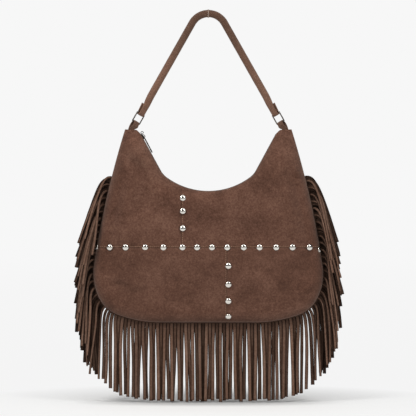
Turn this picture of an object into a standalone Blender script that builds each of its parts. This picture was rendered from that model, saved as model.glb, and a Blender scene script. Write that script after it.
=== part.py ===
"""A fringed suede shoulder bag, hung by its rolled strap.

Metres, +Z up, the front of the bag faces -Y. The origin is the underside of the strap's crown,
where a hook or a hand carries the bag. Left and right are as seen from the front.
"""

import math
import random

import bmesh
import bpy
from mathutils import Matrix, Vector
from mathutils.bvhtree import BVHTree

# Clearances

SEAT_GAP = 0.0003               # between pieces that touch
WIRE_PLAY = 0.0009              # between a ring's wire and the leather loop round it

# Front outline, from the middle of the bottom seam up the right side: straights and arcs


def straight(length):
    """A straight stretch, as its length and turn."""
    return length, 0.0


def arc(radius, degrees):
    """An arc that turns left for positive degrees, as its length and turn."""
    turn = math.radians(degrees)
    return radius * abs(turn), turn


BOTTOM_STRAIGHT = 0.078
OUTLINE_RADII = (0.215, 0.051, 0.090, 1.530, 1.530)
OUTLINE_MOVES = (straight(BOTTOM_STRAIGHT), arc(OUTLINE_RADII[0], 20), arc(OUTLINE_RADII[1], 39),
                 arc(OUTLINE_RADII[2], 39.5), arc(OUTLINE_RADII[3], 7.7), arc(OUTLINE_RADII[4], 1.0))
MOUTH_HEIGHT = 0.2170           # heights are above the bottom seam
MOUTH_RADII = (0.118, 0.0355, 0.018)
MOUTH_STRAIGHTS = (0.0695, 0.003)
MOUTH_MOVES = (arc(MOUTH_RADII[0], 36.5), arc(MOUTH_RADII[1], 25), straight(MOUTH_STRAIGHTS[0]),
               arc(MOUTH_RADII[2], -20), straight(MOUTH_STRAIGHTS[1]))

# Leather panels

LEATHER = 0.0016
SEAM_ALLOWANCE = 0.008
PEAK_ALLOWANCE = 0.0018         # the allowance is trimmed away in the peaks, where the tabs go in
EDGE_ROLL = 0.018               # width over which a panel turns in to its seam
CREST = 0.0165                  # height of a panel above its seam, past the roll
BELLY = 0.0085                  # further height in the middle of the bag
MOUTH_ROLL = 0.022              # width over which a panel turns in to the zip
MOUTH_HALF_GAP = 0.0072         # from the middle of the bag to the panel at the zip
FULL_WIDTH = 0.085              # a panel wider than this has its whole depth
PINCH = 0.022                   # length over which a peak closes on its tab
EDGE_STEPS = 3
MIDDLE_STEPS = 3
MOUTH_STEPS = 3
STATION_LENGTH = 0.045
STATION_TURN = math.radians(11.0)
CROSS_SEAM_HEIGHT = 0.1235
UPPER_SEAM_X = -0.0445
LOWER_SEAM_X = 0.0310

# Fringe

FRINGE_THICKNESS = 0.0012
FRINGE_REACH = 0.402            # along the seam, from the middle of the bottom to the top strip
HEADER = 0.010                  # uncut part outside the seam
SIDE_HEADER = 0.004             # and up the sides
STRIP_PITCH = 0.00582
STRIP_WIDTH = 0.0050
STRIP_LENGTH = 0.1235
STRIP_ROWS = (0.0, 0.033, 0.065, 0.106, 0.2, 0.5, 1.0)
CORNER_START = math.radians(20.0)   # headings of the seam between which bottom turns into side
CORNER_TURN = math.radians(30.0)
BEND_LENGTH = 0.0075            # over which a strip turns from outwards to downwards
LEAST_LEAN = math.radians(4.0)  # outwards, of side strips: each is pushed out by those below it
MORE_LEAN = math.radians(18.5)  # of the highest strips
LEAN_START_HEIGHT = 0.0477
LEAN_RISE = 0.200               # from there to the highest strips
FAN = (-58.0, 19.0, -19.0, 58.0)    # degrees to the front (-) or back by which side strips fan out
FAN_LENGTH = 0.004
SIDE_TWIST_LENGTH = 0.010       # over which a side strip turns its face outwards
BOTTOM_SWAY = math.radians(1.3)
BOTTOM_TWIST = math.radians(36.0)
BOTTOM_LANE = 0.0021            # every other strip hangs this far behind the seam, the rest before it
BOTTOM_LANE_LENGTH = 0.050

# Studs, as distances from the middle of the front and heights

STUD_RADIUS = 0.0053
STUD_HEIGHT = 0.0027
STUD_SIDES = 10
ROW_STUDS_X = (-0.1655, -0.1390, -0.1068, -0.0765, -0.0450, -0.0208, 0.0038, 0.0290, 0.0563,
               0.0825, 0.1100, 0.1370, 0.1655)
EDGE_STUD_X = 0.1880
EDGE_STUD_ANGLE = math.radians(68.0)
UPPER_STUD_HEIGHTS = (0.2053, 0.1836, 0.1551)
LOWER_STUD_HEIGHTS = (0.0929, 0.0619, 0.0344, 0.0087)

# Strap, rings and tabs

STRAP_RADIUS = 0.0061
STRAP_SIDES = 10
CROWN_RADIUS = 0.0308           # to the middle of the strap
ARM_LENGTH = 0.1726             # from the end of the crown's arc to the ring's upper bar
FLATTEN_START = 0.034           # above the bar, where the roll starts to flatten
FLATTEN_END = 0.007
LOOP_LEATHER = 0.0021
LOOP_WIDTH = 0.0112
FLAP_LENGTH = 0.016
BAR_SKEW = math.radians(36.0)   # the rings' bars turn their outer ends to the front
WIRE_RADIUS = 0.0011
RING_WIDTH = 0.0155             # between the middles of its side wires
RING_HEIGHT = 0.0195
RING_CORNER = 0.0026
PEAK_DROP = 0.01084             # from a ring's lower bar down to the tip of the peak
PEAK_OUT = 0.00741              # and outwards
TAB_WIDTH_IN_PEAK = 0.0102
TAB_DEPTH_IN_PEAK = 0.011
TAB_SPLIT = 0.00012             # half the gap between the tab's two legs
TAB_HOLLOW = 0.0062             # between the legs at the tab's widest, under the bar
TAB_HOLLOW_DROP = 0.0045        # from the bar to there

# Zip, with levels above the mouth edge

TAPE = 0.0007
TAPE_LEVEL = -0.0004
TAPE_FLANGE = 0.008
TEETH_HALF_WIDTH = 0.0028
TEETH_NOTCH = 0.0008
TEETH_TOP = 0.0012
TEETH_BOTTOM = -0.0006
TOOTH_PITCH = 0.0076
SLIDER_LENGTH = 0.009
SLIDER_PLATE = 0.0015
SLIDER_FLANGE = 0.0011
SLIDER_FROM_TIP = 0.0150
BRIDGE_RADIUS = 0.0025
BRIDGE_WIRE = 0.0007
PULL_LENGTH = 0.0285
PULL_WIDTH = 0.0056
PULL_THICKNESS = 0.0010
PULL_BAR = 0.0010
PULL_WINDOW_WIDTH = 0.0028
PULL_WINDOW_LENGTH = 0.0036
PULL_DIP = math.radians(1.0)    # the tag leans to the teeth

# Colours (linear), roughness and metal

SUEDE = ((0.135, 0.070, 0.050), 0.95, 0.0)
STRAP_SUEDE = ((0.185, 0.098, 0.066), 0.95, 0.0)
NICKEL = ((0.62, 0.60, 0.57), 0.25, 1.0)
TAPE_CLOTH = ((0.022, 0.016, 0.014), 0.9, 0.0)

# Curves


def smooth(x):
    """Ease from 0 at x = 0 to 1 at x = 1."""
    x = min(max(x, 0.0), 1.0)
    return x * x * (3.0 - 2.0 * x)


def mix(a, b, share):
    """The value that lies at a share of the way from a to b."""
    return a + (b - a) * share


class HalfPath:
    """A curve in the XZ plane from the bag's middle out to the right, mirrored to the left.

    Distances along it are negative on the left.
    """

    def __init__(self, start_z, moves):
        self.runs = []
        self.length = 0.0
        place = (0.0, start_z, 0.0)
        for length, turn in moves:
            self.runs.append((self.length, length, turn, place))
            place = self.advance(place, length, turn)
            self.length += length

    @staticmethod
    def advance(place, length, turn):
        x, z, heading = place
        if abs(turn) < 1e-9:
            return x + length * math.cos(heading), z + length * math.sin(heading), heading
        radius = length / turn
        end = heading + turn
        return (x + radius * (math.sin(end) - math.sin(heading)),
                z + radius * (math.cos(heading) - math.cos(end)), end)

    def at(self, distance):
        """Point and heading, with the heading as on the right side."""
        ahead = min(abs(distance), self.length)
        start, length, turn, place = [run for run in self.runs if run[0] <= ahead][-1]
        part = ahead - start
        x, z, heading = self.advance(place, part, turn * part / length)
        return Vector((math.copysign(x, distance), 0.0, z)), heading

    def end(self):
        return self.at(self.length)[0]

    def outward(self, distance):
        """Unit vector square to the curve, away from its middle and down."""
        heading = self.at(distance)[1]
        return Vector((math.copysign(math.sin(heading), distance), 0.0, -math.cos(heading)))


# Sizes that follow

SEAM_Y = FRINGE_THICKNESS / 2 + SEAT_GAP + LEATHER / 2
TAB_LEG_Y = TAB_SPLIT + LOOP_LEATHER / 2
PEAK_Y = TAB_SPLIT + LOOP_LEATHER + SEAT_GAP + LEATHER / 2 + 0.0005
LOOP_RADIUS = WIRE_RADIUS + WIRE_PLAY + LOOP_LEATHER / 2
STRIP_COUNT = 2 * int(FRINGE_REACH / STRIP_PITCH)
SLIDER_UNDER = TEETH_TOP + SEAT_GAP
SLIDER_TOP = SLIDER_UNDER + SLIDER_PLATE
HINGE_LEVEL = SLIDER_TOP + (BRIDGE_RADIUS - BRIDGE_WIRE) / 2

# The arms spread from plumb so that the rings come over the peaks, and the bag hangs from the rings.
PEAK = (HalfPath(0.0, OUTLINE_MOVES).end() + HalfPath(MOUTH_HEIGHT, MOUTH_MOVES).end()) / 2
TO_LOWER_BAR = ARM_LENGTH + RING_HEIGHT
ARM_TILT = math.asin((PEAK.x - PEAK_OUT) / math.hypot(CROWN_RADIUS, TO_LOWER_BAR)) \
    - math.atan2(CROWN_RADIUS, TO_LOWER_BAR)
ARM = Vector((math.sin(ARM_TILT), 0.0, -math.cos(ARM_TILT)))       # down the right arm
ACROSS_ARM = Vector((math.cos(ARM_TILT), 0.0, math.sin(ARM_TILT)))
FRONT = Vector((0.0, -1.0, 0.0))
BAR = ACROSS_ARM * math.cos(BAR_SKEW) + FRONT * math.sin(BAR_SKEW)
BAR_FACE = ARM.cross(BAR)                                          # square to bar and arm
CROWN_CENTRE = Vector((0.0, 0.0, STRAP_RADIUS - CROWN_RADIUS))
ARM_TOP = CROWN_CENTRE + ACROSS_ARM * CROWN_RADIUS
UPPER_BAR = ARM_TOP + ARM * ARM_LENGTH
LOWER_BAR = UPPER_BAR + ARM * RING_HEIGHT
BOTTOM_Z = LOWER_BAR.z - PEAK_DROP - PEAK.z
OUTLINE = HalfPath(BOTTOM_Z, OUTLINE_MOVES)
MOUTH = HalfPath(BOTTOM_Z + MOUTH_HEIGHT, MOUTH_MOVES)
CROSS_SEAM_Z = BOTTOM_Z + CROSS_SEAM_HEIGHT


def clear_scene():
    for old in list(bpy.data.objects):
        bpy.data.objects.remove(old, do_unlink=True)


def new_collection(name):
    collection = bpy.data.collections.new(name)
    bpy.context.scene.collection.children.link(collection)
    return collection


def new_material(name, finish):
    colour, roughness, metallic = finish
    material = bpy.data.materials.new(name)
    material.use_nodes = True
    shader = material.node_tree.nodes["Principled BSDF"]
    shader.inputs["Base Color"].default_value = (*colour, 1.0)
    shader.inputs["Roughness"].default_value = roughness
    shader.inputs["Metallic"].default_value = metallic
    return material


def add_object(name, data, finish, matrix=None):
    """Link an object for one piece, with a material of its own."""
    piece = bpy.data.objects.new(name, data)
    if not data.materials:
        data.materials.append(new_material(name + "_finish", finish))
    piece.matrix_world = matrix or Matrix.Identity(4)
    BAG.objects.link(piece)
    return piece


def add_modifier(piece, kind, **settings):
    modifier = piece.modifiers.new(kind.title(), kind)
    for key, value in settings.items():
        setattr(modifier, key, value)
    return modifier


def grid_mesh(name, columns, rows, place, keep=None):
    """A sheet: a grid whose vertex (column, row) moves to place(column, row).

    keep(column, row) says which cells stay.
    """
    sheet = bmesh.new()
    bmesh.ops.create_grid(sheet, x_segments=columns, y_segments=rows, size=1.0)
    if keep:
        cut = []
        for face in sheet.faces:
            middle = face.calc_center_median()
            column = int((middle.x + 1.0) / 2.0 * columns)
            row = int((middle.y + 1.0) / 2.0 * rows)
            if not keep(column, row):
                cut.append(face)
        bmesh.ops.delete(sheet, geom=cut, context="FACES")
    for vertex in sheet.verts:
        column = round((vertex.co.x + 1.0) / 2.0 * columns)
        row = round((vertex.co.y + 1.0) / 2.0 * rows)
        vertex.co = place(column, row)
    mesh = bpy.data.meshes.new(name)
    sheet.to_mesh(mesh)
    sheet.free()
    return mesh


def loft_mesh(name, sections):
    """A closed solid through rings of points, with flat ends."""
    solid = bmesh.new()
    rings = [[solid.verts.new(point) for point in section] for section in sections]
    sides = len(rings[0])
    for near, far in zip(rings, rings[1:]):
        for i in range(sides):
            j = (i + 1) % sides
            solid.faces.new((near[i], near[j], far[j], far[i]))
    solid.faces.new(list(reversed(rings[0])))
    solid.faces.new(rings[-1])
    bmesh.ops.recalc_face_normals(solid, faces=solid.faces)
    mesh = bpy.data.meshes.new(name)
    solid.to_mesh(mesh)
    solid.free()
    return mesh


def oval(centre, side, face, half_width, half_thickness, sides, squareness=1.0):
    """A ring of points, round at squareness 1 and boxier below it."""
    ring = []
    for i in range(sides):
        angle = 2.0 * math.pi * (i + 0.5) / sides
        across = math.copysign(abs(math.cos(angle)) ** squareness, math.cos(angle))
        up = math.copysign(abs(math.sin(angle)) ** squareness, math.sin(angle))
        ring.append(centre + side * (half_width * across) + face * (half_thickness * up))
    return ring


def mirror_x(point, side):
    """A point of the right half, or its mirror on the left for side -1."""
    return Vector((point[0] * side, point[1], point[2]))


# Leather panels


def stations():
    """Distances along the outline where the panels have a rule line, left to right."""
    marks = [0.0]
    for start, length, turn, _ in OUTLINE.runs:
        steps = max(math.ceil(length / STATION_LENGTH), math.ceil(abs(turn) / STATION_TURN))
        marks += [start + length * (i + 1) / steps for i in range(steps)]
    return [-mark for mark in reversed(marks[1:])] + marks


def rule_line(distance):
    """Ends of a panel's rule line: on the outline, and on the mouth at the same share of its length."""
    return OUTLINE.at(distance)[0], MOUTH.at(distance * MOUTH.length / OUTLINE.length)[0]


def panel_depths(distance):
    """Distances of a panel from the bag's middle plane: past the edge roll, and at the mouth edge."""
    edge, rim = rule_line(distance)
    opened = smooth((OUTLINE.length - abs(distance)) / PINCH)
    share = min(1.0, (rim - edge).length / FULL_WIDTH)
    crest = mix(PEAK_Y, SEAM_Y + CREST * share, opened)
    return crest, min(MOUTH_HALF_GAP, crest)


def panel_line(distance, front):
    """Points of one rule line, from the seam allowance over the belly to the mouth edge."""
    edge, rim = rule_line(distance)
    outward = OUTLINE.outward(distance)
    rule = rim - edge
    width = rule.length
    rule.normalize()
    square = max(0.6, -rule.dot(outward))
    crest, rim_y = panel_depths(distance)
    belly = BELLY * smooth((width - FULL_WIDTH) / FULL_WIDTH)
    edge_roll = min(EDGE_ROLL / square, 0.42 * width)
    mouth_roll = min(MOUTH_ROLL, 0.42 * width)
    trimmed = abs(distance) > FRINGE_REACH + SEAM_ALLOWANCE
    allowance = PEAK_ALLOWANCE if trimmed else SEAM_ALLOWANCE

    points = [(edge - outward * allowance, SEAM_Y), (edge, SEAM_Y)]
    for i in range(1, EDGE_STEPS + 1):
        angle = math.pi / 2 * i / EDGE_STEPS
        along = edge_roll * (1.0 - math.cos(angle))
        points.append((edge + rule * along, mix(SEAM_Y, crest, math.sin(angle))))
    for i in range(1, MIDDLE_STEPS):
        share = i / MIDDLE_STEPS
        along = mix(edge_roll, width - mouth_roll, share)
        points.append((edge + rule * along, crest + belly * math.sin(math.pi * share)))
    for i in range(MOUTH_STEPS + 1):
        angle = math.pi / 2 * i / MOUTH_STEPS
        along = width - mouth_roll * (1.0 - math.sin(angle))
        points.append((edge + rule * along, mix(rim_y, crest, math.cos(angle))))
    return [point + FRONT * (y * front) for point, y in points]


def panel_mesh(name, front):
    lines = [panel_line(mark, front) for mark in stations()]
    return grid_mesh(name, len(lines) - 1, len(lines[0]) - 1, lambda i, j: lines[i][j])


def add_panel(name, mesh):
    panel = add_object(name, mesh, SUEDE)
    add_modifier(panel, "SOLIDIFY", thickness=LEATHER, offset=0.0, use_even_offset=True)
    return panel


def cutter_box(name, left, right, low, high):
    """A box through the whole depth of the bag, which keeps one piece of the front."""
    box = bmesh.new()
    bmesh.ops.create_cube(box, size=1.0)
    size = Vector((right - left, 4 * EDGE_ROLL + 4 * CREST, high - low))
    middle = Vector(((left + right) / 2, 0.0, (low + high) / 2))
    for vertex in box.verts:
        vertex.co = Vector((vertex.co.x * size.x, vertex.co.y * size.y, vertex.co.z * size.z)) + middle
    mesh = bpy.data.meshes.new(name)
    box.to_mesh(mesh)
    box.free()
    cutter = bpy.data.objects.new(name, mesh)
    cutter.display_type = "WIRE"
    cutter.hide_render = True
    CUTTERS.objects.link(cutter)
    return cutter


def add_front():
    """The front panel, cut along its three seams into four pieces."""
    half = SEAT_GAP / 2
    side = OUTLINE.at(OUTLINE.length / 2)[0].x * 2
    top = 0.0
    low = BOTTOM_Z - EDGE_ROLL - SEAM_ALLOWANCE
    pieces = {
        "front_upper_left": (-side, UPPER_SEAM_X - half, CROSS_SEAM_Z + half, top),
        "front_upper_right": (UPPER_SEAM_X + half, side, CROSS_SEAM_Z + half, top),
        "front_lower_left": (-side, LOWER_SEAM_X - half, low, CROSS_SEAM_Z - half),
        "front_lower_right": (LOWER_SEAM_X + half, side, low, CROSS_SEAM_Z - half),
    }
    panels = []
    for name, box in pieces.items():
        panel = add_panel(name, panel_mesh(name, 1.0))
        add_modifier(panel, "BOOLEAN", operation="INTERSECT", solver="EXACT",
                     object=cutter_box(name + "_cut", *box))
        panels.append(panel)
    return panels


# Fringe


def strip_point(index, row, side):
    """A point on one edge of a strip: side -1 or 1, row 0 at the header's lower edge."""
    distance = (index - (STRIP_COUNT - 1) / 2) * STRIP_PITCH
    start, heading = OUTLINE.at(distance)
    hand = math.copysign(1.0, distance)
    sideways = smooth((heading - CORNER_START) / CORNER_TURN)
    header = mix(HEADER, SIDE_HEADER, sideways)
    root = start + OUTLINE.outward(distance) * header
    if row == 0:
        across = OUTLINE.outward(distance).cross(Vector((0.0, hand, 0.0))) * hand
        spread = 1.0 + header * outline_curvature(distance)
        return root + across * (side * STRIP_WIDTH / 2 * spread)

    chance = random.Random(index)
    fan = math.radians(FAN[index % len(FAN)]) * sideways
    rise = max(0.0, start.z - BOTTOM_Z - LEAN_START_HEIGHT) / LEAN_RISE
    sway = BOTTOM_SWAY * chance.uniform(-1.0, 1.0) * (1.0 - sideways) ** 2
    lean = LEAST_LEAN * sideways + MORE_LEAN * rise ** 0.75 * math.cos(fan) ** 2 + sway
    length = STRIP_LENGTH * STRIP_ROWS[row] * chance.uniform(0.975, 1.0)

    def frame(travelled):
        """Directions along a strip, and square to it in the upright plane that it hangs in."""
        angle = mix(lean, heading, 1.0 / (1.0 + (travelled / BEND_LENGTH) ** 2.2))
        turn = fan * smooth(travelled / FAN_LENGTH)
        out = Vector((hand * math.cos(turn), math.sin(turn), 0.0))
        up = Vector((0.0, 0.0, 1.0))
        return (out * math.sin(angle) - up * math.cos(angle),
                (out * math.cos(angle) + up * math.sin(angle)) * hand)

    steps = 12 * row
    point = Vector(root)
    for i in range(steps):
        point += frame(length * (i + 0.5) / steps)[0] * (length / steps)
    lane = BOTTOM_LANE if index % 2 else -BOTTOM_LANE
    point.y += lane * (1.0 - sideways) * smooth(length / BOTTOM_LANE_LENGTH)
    twist = mix(BOTTOM_TWIST * chance.uniform(-1.0, 1.0) * smooth(length / STRIP_LENGTH),
                math.pi / 2 * smooth(length / SIDE_TWIST_LENGTH), sideways)
    along, square = frame(length)
    across = square * math.cos(twist) + along.cross(square) * math.sin(twist)
    return point + across * (side * STRIP_WIDTH / 2)


def outline_curvature(distance):
    """How sharply the outline bends at a distance, in turns of one radian a metre."""
    step = 0.001
    return (OUTLINE.at(abs(distance) + step)[1] - OUTLINE.at(abs(distance))[1]) / step


def add_fringe():
    """One sheet: an uncut header sewn in the seam, cut into strips below it."""
    def place(column, row):
        index, edge = divmod(column, 2)
        side = 2 * edge - 1
        if row == 0:
            distance = (index - (STRIP_COUNT - 1) / 2) * STRIP_PITCH + side * STRIP_WIDTH / 2
            inner = OUTLINE.at(distance)[0] - OUTLINE.outward(distance) * SEAM_ALLOWANCE
            return inner
        return strip_point(index, row - 1, side)

    def keep(column, row):
        return row == 0 or column % 2 == 0

    mesh = grid_mesh("fringe", 2 * STRIP_COUNT - 1, len(STRIP_ROWS), place, keep)
    fringe = add_object("fringe", mesh, SUEDE)
    add_modifier(fringe, "SOLIDIFY", thickness=FRINGE_THICKNESS, offset=0.0)
    return fringe


# Studs


def stud_mesh():
    """A shallow dome with a flat base at z = 0."""
    profile = ((0.0, STUD_HEIGHT), (0.45 * STUD_RADIUS, 0.86 * STUD_HEIGHT),
               (0.82 * STUD_RADIUS, 0.47 * STUD_HEIGHT), (STUD_RADIUS, 0.0))
    dome = bmesh.new()
    crown = dome.verts.new((0.0, 0.0, profile[0][1]))
    rings = []
    for radius, height in profile[1:]:
        ring = bmesh.ops.create_circle(dome, segments=STUD_SIDES, radius=radius,
                                       matrix=Matrix.Translation((0.0, 0.0, height)))["verts"]
        rings.append(ring)
    for upper, lower in zip(rings, rings[1:]):
        for i in range(STUD_SIDES):
            j = (i + 1) % STUD_SIDES
            dome.faces.new((upper[i], lower[i], lower[j], upper[j]))
    for i in range(STUD_SIDES):
        dome.faces.new((crown, rings[0][i], rings[0][(i + 1) % STUD_SIDES]))
    dome.faces.new(list(reversed(rings[-1])))
    bmesh.ops.recalc_face_normals(dome, faces=dome.faces)
    mesh = bpy.data.meshes.new("stud")
    dome.to_mesh(mesh)
    dome.free()
    return mesh


def seat_stud(trees, aim, direction):
    """Matrix of a stud set on the leather where a line through aim meets it."""
    side = direction.orthogonal().normalized()
    other = direction.cross(side)
    hits = []
    for radius in (0.0, 0.6 * STUD_RADIUS, STUD_RADIUS):
        for i in range(STUD_SIDES):
            angle = 2.0 * math.pi * i / STUD_SIDES
            start = aim - direction * (2 * (CREST + BELLY)) + side * (radius * math.cos(angle)) \
                + other * (radius * math.sin(angle))
            found = [tree.ray_cast(start, direction) for tree in trees]
            found = [hit for hit in found if hit[0] is not None]
            if found:
                hits.append(min(found, key=lambda hit: hit[3]))
    normal = sum((hit[1] for hit in hits), Vector()).normalized()
    centre = hits[0][0]
    rise = max((hit[0] - centre).dot(normal) for hit in hits)
    seat = centre + normal * (rise + SEAT_GAP)
    turn = Vector((0.0, 0.0, 1.0)).rotation_difference(normal)
    return Matrix.Translation(seat) @ turn.to_matrix().to_4x4()


def add_studs(panels):
    """Domed rivets along the three seams of the front."""
    graph = bpy.context.evaluated_depsgraph_get()
    trees = [BVHTree.FromObject(panel, graph) for panel in panels]
    straight_in = Vector((0.0, 1.0, 0.0))
    aims = [(Vector((x, 0.0, CROSS_SEAM_Z)), straight_in) for x in ROW_STUDS_X]
    for hand in (-1.0, 1.0):
        inwards = Vector((-hand * math.sin(EDGE_STUD_ANGLE), math.cos(EDGE_STUD_ANGLE), 0.0))
        aims.append((Vector((hand * EDGE_STUD_X, 0.0, CROSS_SEAM_Z)) + FRONT * EDGE_ROLL / 2, inwards))
    aims += [(Vector((UPPER_SEAM_X, 0.0, BOTTOM_Z + height)), straight_in) for height in UPPER_STUD_HEIGHTS]
    aims += [(Vector((LOWER_SEAM_X, 0.0, BOTTOM_Z + height)), straight_in) for height in LOWER_STUD_HEIGHTS]
    mesh = stud_mesh()
    for number, (aim, direction) in enumerate(aims, start=1):
        matrix = seat_stud(trees, aim, direction)
        add_object(f"stud_{number:02d}", mesh, NICKEL, matrix)


# Strap, rings and tabs


def strap_sections():
    """Rings of points down the right half of the strap: crown, arm, flattened end, loop, flap."""
    sections = []
    steps = 5
    for i in range(steps + 1):
        angle = (math.pi / 2 - ARM_TILT) * i / steps
        out = Vector((math.sin(angle), 0.0, math.cos(angle)))
        centre = CROWN_CENTRE + out * CROWN_RADIUS
        if i == 0:
            centre.x += SEAT_GAP / 2
        sections.append(oval(centre, out, FRONT, STRAP_RADIUS, STRAP_RADIUS, STRAP_SIDES))
    round_length = ARM_LENGTH - FLATTEN_START
    for share in (0.33, 0.67, 1.0):
        centre = ARM_TOP + ARM * (round_length * share)
        sections.append(oval(centre, ACROSS_ARM, FRONT, STRAP_RADIUS, STRAP_RADIUS, STRAP_SIDES))
    steps = 4
    for i in range(1, steps + 1):
        share = i / steps
        eased = smooth(share)
        centre = UPPER_BAR - ARM * mix(FLATTEN_START, FLATTEN_END, share)
        centre = centre + BAR_FACE * (LOOP_RADIUS * eased)
        turn = BAR_SKEW * eased
        side = ACROSS_ARM * math.cos(turn) + FRONT * math.sin(turn)
        sections.append(oval(centre, side, ARM.cross(side), mix(STRAP_RADIUS, LOOP_WIDTH / 2, eased),
                             mix(STRAP_RADIUS, LOOP_LEATHER / 2, eased), STRAP_SIDES, mix(1.0, 0.6, eased)))
    steps = 6
    for i in range(steps + 1):
        angle = math.pi * i / steps
        out = BAR_FACE * math.cos(angle) + ARM * math.sin(angle)
        sections.append(oval(UPPER_BAR + out * LOOP_RADIUS, BAR, out, LOOP_WIDTH / 2,
                             LOOP_LEATHER / 2, STRAP_SIDES, 0.6))
    spread = LOOP_RADIUS + LOOP_LEATHER
    for share in (0.5, 1.0):
        centre = UPPER_BAR - ARM * (FLAP_LENGTH * share) - BAR_FACE * mix(LOOP_RADIUS, spread, share)
        sections.append(oval(centre, BAR, -BAR_FACE, LOOP_WIDTH / 2, LOOP_LEATHER / 2, STRAP_SIDES, 0.6))
    return sections


def ring_mesh(name, hand):
    """A closed wire ring with rounded corners, bars along BAR and sides along the arm."""
    centre = (UPPER_BAR + LOWER_BAR) / 2
    steps = 3
    points = []
    for corner in range(4):
        start = corner * math.pi / 2
        across = RING_WIDTH / 2 - RING_CORNER
        along = RING_HEIGHT / 2 - RING_CORNER
        signs = ((1, 1), (-1, 1), (-1, -1), (1, -1))[corner]
        for i in range(steps + 1):
            angle = start + math.pi / 2 * i / steps
            point = centre + BAR * (signs[0] * across + RING_CORNER * math.cos(angle)) \
                + ARM * (signs[1] * along + RING_CORNER * math.sin(angle))
            points.append(mirror_x(point, hand))
    wire = bpy.data.curves.new(name, "CURVE")
    wire.dimensions = "3D"
    wire.bevel_depth = WIRE_RADIUS
    wire.bevel_resolution = 2
    spline = wire.splines.new("POLY")
    spline.points.add(len(points) - 1)
    for knot, point in zip(spline.points, points):
        knot.co = (*point, 1.0)
    spline.use_cyclic_u = True
    return wire


def tab_sections():
    """Rings of points of the right tab: up the front leg, over the lower bar, down the back leg."""
    tip = (OUTLINE.end() + MOUTH.end()) / 2
    peak_side = (OUTLINE.end() - MOUTH.end()).normalized()
    sides = 8
    down = Vector((0.0, 0.0, -1.0))

    def leg(front):
        rings = []
        for depth in (TAB_DEPTH_IN_PEAK, 0.0):
            centre = tip + down * depth + FRONT * (TAB_LEG_Y * front)
            rings.append(oval(centre, peak_side, FRONT * front, TAB_WIDTH_IN_PEAK / 2,
                              LOOP_LEATHER / 2, sides, 0.5))
        return rings

    def wide_part(front):
        centre = LOWER_BAR + ARM * TAB_HOLLOW_DROP \
            + BAR_FACE * (front * (TAB_HOLLOW + LOOP_LEATHER) / 2)
        return oval(centre, BAR, BAR_FACE * front, LOOP_WIDTH / 2, LOOP_LEATHER / 2, sides, 0.5)

    sections = leg(1.0) + [wide_part(1.0)]
    steps = 6
    for i in range(steps + 1):
        angle = math.pi * i / steps
        out = BAR_FACE * math.cos(angle) - ARM * math.sin(angle)
        sections.append(oval(LOWER_BAR + out * LOOP_RADIUS, BAR, out, LOOP_WIDTH / 2,
                             LOOP_LEATHER / 2, sides, 0.5))
    sections.append(wide_part(-1.0))
    sections += list(reversed(leg(-1.0)))
    return sections


def add_suspension():
    """Both halves of the strap, the rings and the tabs."""
    for hand, word in ((-1.0, "left"), (1.0, "right")):
        strap = [[mirror_x(point, hand) for point in ring] for ring in strap_sections()]
        add_object("strap_" + word, loft_mesh("strap_" + word, strap), STRAP_SUEDE)
        add_object(word + "_ring", ring_mesh(word + "_ring", hand), NICKEL)
        tab = [[mirror_x(point, hand) for point in ring] for ring in tab_sections()]
        add_object(word + "_tab", loft_mesh(word + "_tab", tab), SUEDE)


# Zip


def mouth_point(distance, y, level):
    """A point beside the mouth edge, level above it."""
    return MOUTH.at(distance)[0] - MOUTH.outward(distance) * level + Vector((0.0, y, 0.0))


def tape_mesh(name, hand):
    """An L-shaped tape: a flat part beside the teeth and a flange sewn inside the panel."""
    marks = stations()[1:-1]
    inner = TEETH_HALF_WIDTH + SEAT_GAP

    def place(column, row):
        outer = panel_depths(marks[column])[1] - LEATHER / 2 - SEAT_GAP - TAPE / 2
        y = inner if row == 0 else outer
        level = TAPE_LEVEL - TAPE_FLANGE if row == 2 else TAPE_LEVEL
        return mouth_point(marks[column] * MOUTH.length / OUTLINE.length, hand * y, level)

    return grid_mesh(name, len(marks) - 1, 2, place)


def teeth_sections():
    """Rings of points along the chain of teeth, broad at each tooth and narrow between."""
    reach = stations()[-2] * MOUTH.length / OUTLINE.length
    count = int(2 * reach / TOOTH_PITCH) * 2
    sections = []
    for i in range(count + 1):
        distance = mix(-reach, reach, i / count)
        half = TEETH_HALF_WIDTH - (TEETH_NOTCH if i % 2 else 0.0)
        sections.append([mouth_point(distance, -half, TEETH_BOTTOM), mouth_point(distance, half, TEETH_BOTTOM),
                         mouth_point(distance, half, TEETH_TOP), mouth_point(distance, -half, TEETH_TOP)])
    return sections


def zip_frame(level):
    """Matrix at the slider: X down the slope of the left peak, Z out of the mouth, level above it."""
    distance = -(MOUTH.length - SLIDER_FROM_TIP)
    out = -MOUTH.outward(distance)
    across = Vector((0.0, 1.0, 0.0))
    down = across.cross(out)
    matrix = Matrix((down, across, out)).transposed().to_4x4()
    matrix.translation = MOUTH.at(distance)[0] + out * level
    return matrix


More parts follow.
